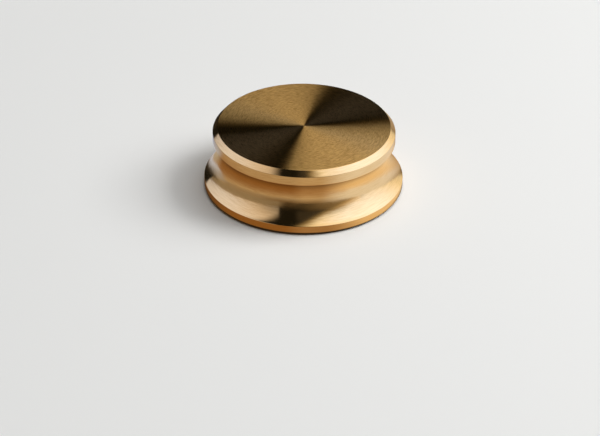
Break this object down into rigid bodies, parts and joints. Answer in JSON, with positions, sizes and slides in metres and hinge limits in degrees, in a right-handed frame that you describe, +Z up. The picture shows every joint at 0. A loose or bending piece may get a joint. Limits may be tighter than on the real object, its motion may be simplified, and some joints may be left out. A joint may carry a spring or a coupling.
{
  "type": "record weight",
  "caption": "Solid turned brass puck with a hollow waist, a chamfered head and a blind spindle bore in its seat, which presses a record onto a turntable.",
  "frame": {"origin": "centre of the seat, where the spindle bore's axis meets the face that rests on the record's label", "axes": "+Z up, along the axis that the weight was turned about; X and Y are any two directions square to it"},
  "size_m": [0.08, 0.08, 0.0259],
  "materials": {
    "brass": "bare brass, turned: fine concentric lines on the top face, near polish on the chamfer, band, waist and rim"
  },
  "bodies": {
    "root": {"record_weight": "brass"}
  },
  "joints": []
}
